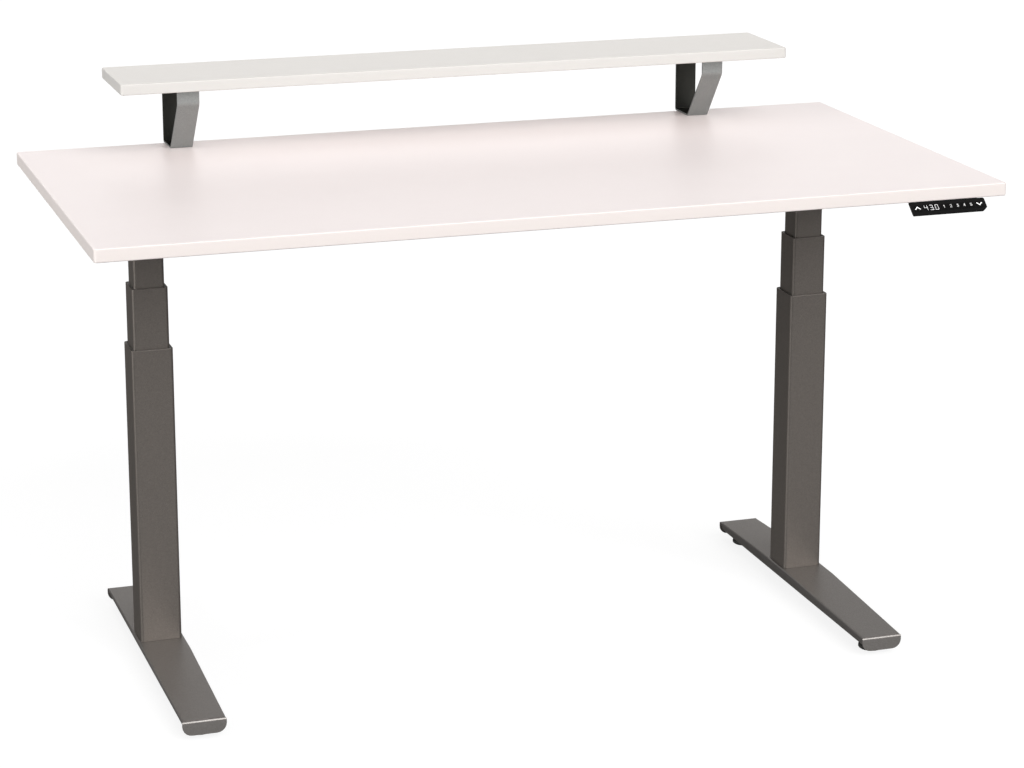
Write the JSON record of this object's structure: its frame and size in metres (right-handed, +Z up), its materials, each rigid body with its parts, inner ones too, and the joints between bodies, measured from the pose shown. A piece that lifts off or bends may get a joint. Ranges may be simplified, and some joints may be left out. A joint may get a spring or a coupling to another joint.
{
  "type": "height-adjustable standing desk",
  "caption": "Sit-stand desk: a laminate worktop with a raised rear shelf on two telescopic columns with T feet, and a handset under the front edge.",
  "frame": {"origin": "middle of the base of the bounding box, on the floor", "axes": "+X to the right as seen from the front, -Y towards the user, +Z up"},
  "size_m": [1.524, 0.792, 0.984],
  "materials": {
    "board_laminate": "white laminate on a wood-based board, satin",
    "frame_paint": "warm grey metallic powder coat, satin",
    "bracket_paint": "light grey metallic powder coat, satin",
    "zinc_steel": "zinc plated",
    "nylon": "natural nylon",
    "motor_black": "black painted housing",
    "glide_pad": "dark moulded glide",
    "lead_jacket": "black lead jacket",
    "black_plastic": "fine textured black",
    "display_window": "glossy window with white figures behind it",
    "key_black": "satin black with a white symbol"
  },
  "bodies": {
    "left_base": {"foot_left": "frame_paint", "glide_left_front": "glide_pad", "glide_left_rear": "glide_pad", "outer_tube_left": "frame_paint", "outer_guide_left": "nylon", "base_push_tube_left": "zinc_steel", "lower_nut_left": "nylon"},
    "left_middle": {"middle_tube_left": "frame_paint", "middle_guide_left": "nylon", "middle_push_tube_left": "zinc_steel", "screw_bearing_left": "zinc_steel", "upper_nut_left": "nylon"},
    "left_hollow_screw": {"hollow_screw_left": "zinc_steel"},
    "left_lift_screw": {"lift_screw_left": "zinc_steel"},
    "lifting_top": {"worktop": "board_laminate", "shelf_board": "board_laminate", "shelf_bracket_left": "bracket_paint", "shelf_bracket_right": "bracket_paint", "bracket_screw_left": "zinc_steel", "bracket_screw_right": "zinc_steel", "side_arm_left": "frame_paint", "side_arm_right": "frame_paint", "front_rail": "frame_paint", "rear_rail": "frame_paint", "inner_tube_left": "frame_paint", "inner_tube_right": "frame_paint", "gearbox_left": "motor_black", "gearbox_right": "motor_black", "motor_left": "motor_black", "motor_right": "motor_black", "control_box": "black_plastic", "power_inlet": "black_plastic", "motor_lead_left": "lead_jacket", "motor_lead_right": "lead_jacket", "handset_lead": "lead_jacket", "lead_clip_front": "black_plastic", "lead_clip_rear": "black_plastic", "handset_shell": "black_plastic", "handset_display": "display_window"},
    "right_lift_screw": {"lift_screw_right": "zinc_steel"},
    "right_hollow_screw": {"hollow_screw_right": "zinc_steel"},
    "right_middle": {"middle_tube_right": "frame_paint", "middle_guide_right": "nylon", "middle_push_tube_right": "zinc_steel", "screw_bearing_right": "zinc_steel", "upper_nut_right": "nylon"},
    "right_base": {"foot_right": "frame_paint", "glide_right_front": "glide_pad", "glide_right_rear": "glide_pad", "outer_tube_right": "frame_paint", "outer_guide_right": "nylon", "base_push_tube_right": "zinc_steel", "lower_nut_right": "nylon"},
    "key_up": {"key_up": "key_black"},
    "key_1": {"key_1": "key_black"},
    "key_2": {"key_2": "key_black"},
    "key_3": {"key_3": "key_black"},
    "key_4": {"key_4": "key_black"},
    "key_5": {"key_5": "key_black"},
    "key_down": {"key_down": "key_black"}
  },
  "joints": [
    {"name": "left_lower_lift", "type": "slide", "parent": "left_base", "child": "left_middle", "axis": [0, 0, 1], "range_m": [-0.097, 0.228]},
    {"name": "left_upper_lift", "type": "slide", "parent": "left_middle", "child": "lifting_top", "axis": [0, 0, 1], "range_m": [-0.097, 0.228]},
    {"name": "right_upper_lift", "type": "slide", "parent": "lifting_top", "child": "right_middle", "axis": [0, 0, -1], "range_m": [-0.097, 0.228]},
    {"name": "right_lower_lift", "type": "slide", "parent": "right_middle", "child": "right_base", "axis": [0, 0, -1], "range_m": [-0.097, 0.228]},
    {"name": "left_hollow_screw_turn", "type": "hinge", "parent": "left_middle", "child": "left_hollow_screw", "pos_m": [-0.598, 0.0795, 0.4], "axis": [0, 0, 1], "range_deg": [-3500, 8220]},
    {"name": "left_lift_screw_turn", "type": "hinge", "parent": "lifting_top", "child": "left_lift_screw", "pos_m": [-0.598, 0.0795, 0.4], "axis": [0, 0, 1], "range_deg": [-3500, 8220]},
    {"name": "right_hollow_screw_turn", "type": "hinge", "parent": "right_middle", "child": "right_hollow_screw", "pos_m": [0.598, 0.0795, 0.4], "axis": [0, 0, 1], "range_deg": [-3500, 8220]},
    {"name": "right_lift_screw_turn", "type": "hinge", "parent": "lifting_top", "child": "right_lift_screw", "pos_m": [0.598, 0.0795, 0.4], "axis": [0, 0, 1], "range_deg": [-3500, 8220]},
    {"name": "key_up_press", "type": "slide", "parent": "lifting_top", "child": "key_up", "axis": [0, 0.6477, -0.7619], "range_m": [0, 0.0008], "stiffness_N_per_m": 1000, "springref_m": -0.0008},
    {"name": "key_1_press", "type": "slide", "parent": "lifting_top", "child": "key_1", "axis": [0, 0.6477, -0.7619], "range_m": [0, 0.0008], "stiffness_N_per_m": 1000, "springref_m": -0.0008},
    {"name": "key_2_press", "type": "slide", "parent": "lifting_top", "child": "key_2", "axis": [0, 0.6477, -0.7619], "range_m": [0, 0.0008], "stiffness_N_per_m": 1000, "springref_m": -0.0008},
    {"name": "key_3_press", "type": "slide", "parent": "lifting_top", "child": "key_3", "axis": [0, 0.6477, -0.7619], "range_m": [0, 0.0008], "stiffness_N_per_m": 1000, "springref_m": -0.0008},
    {"name": "key_4_press", "type": "slide", "parent": "lifting_top", "child": "key_4", "axis": [0, 0.6477, -0.7619], "range_m": [0, 0.0008], "stiffness_N_per_m": 1000, "springref_m": -0.0008},
    {"name": "key_5_press", "type": "slide", "parent": "lifting_top", "child": "key_5", "axis": [0, 0.6477, -0.7619], "range_m": [0, 0.0008], "stiffness_N_per_m": 1000, "springref_m": -0.0008},
    {"name": "key_down_press", "type": "slide", "parent": "lifting_top", "child": "key_down", "axis": [0, 0.6477, -0.7619], "range_m": [0, 0.0008], "stiffness_N_per_m": 1000, "springref_m": -0.0008}
  ],
  "couplings": [
    {"joint": "left_upper_lift", "follows": "left_lower_lift", "ratio": 1},
    {"joint": "right_upper_lift", "follows": "left_lower_lift", "ratio": 1},
    {"joint": "right_lower_lift", "follows": "left_lower_lift", "ratio": 1},
    {"joint": "left_hollow_screw_turn", "follows": "left_lower_lift", "rad_per_m": 628.32},
    {"joint": "left_lift_screw_turn", "follows": "left_lower_lift", "rad_per_m": 628.32},
    {"joint": "right_hollow_screw_turn", "follows": "left_lower_lift", "rad_per_m": 628.32},
    {"joint": "right_lift_screw_turn", "follows": "left_lower_lift", "rad_per_m": 628.32}
  ]
}
